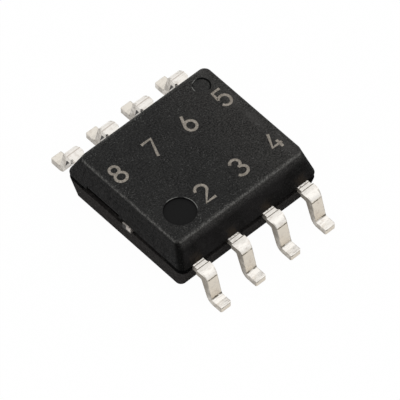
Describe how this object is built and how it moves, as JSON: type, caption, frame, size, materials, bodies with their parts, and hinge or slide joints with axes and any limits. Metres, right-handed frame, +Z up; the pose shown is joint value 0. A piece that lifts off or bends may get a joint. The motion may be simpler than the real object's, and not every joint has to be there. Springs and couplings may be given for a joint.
{
  "type": "small-outline integrated circuit",
  "caption": "Surface-mount small-outline chip: a drafted black epoxy body with gull-wing tinned leads along both long sides and a pin one mark.",
  "frame": {"origin": "on the board plane under the middle of the body, midway between the two rows of feet", "axes": "+X along the body from pin 1 towards pin 4, +Y across it from the row of pins 1 to 4 towards the row of pins 5 to 8, +Z up from the board"},
  "size_m": [0.005, 0.0068, 0.0019],
  "materials": {
    "moulding": "fine-grained moulded black epoxy",
    "tinned_lead": "matte tin plating over copper alloy, warm white",
    "frame_copper": "bare copper alloy",
    "adhesive": "silver-filled epoxy",
    "silicon": "polished silicon",
    "bond_wire": "drawn gold wire"
  },
  "bodies": {
    "root": {"mold_body": "moulding", "lead_1": "tinned_lead", "lead_2": "tinned_lead", "lead_3": "tinned_lead", "lead_4": "tinned_lead", "lead_5": "tinned_lead", "lead_6": "tinned_lead", "lead_7": "tinned_lead", "lead_8": "tinned_lead", "die_pad": "frame_copper", "die_attach": "adhesive", "silicon_die": "silicon", "bond_wire_1": "bond_wire", "bond_wire_2": "bond_wire", "bond_wire_3": "bond_wire", "bond_wire_4": "bond_wire", "bond_wire_5": "bond_wire", "bond_wire_6": "bond_wire", "bond_wire_7": "bond_wire", "bond_wire_8": "bond_wire"}
  },
  "joints": []
}
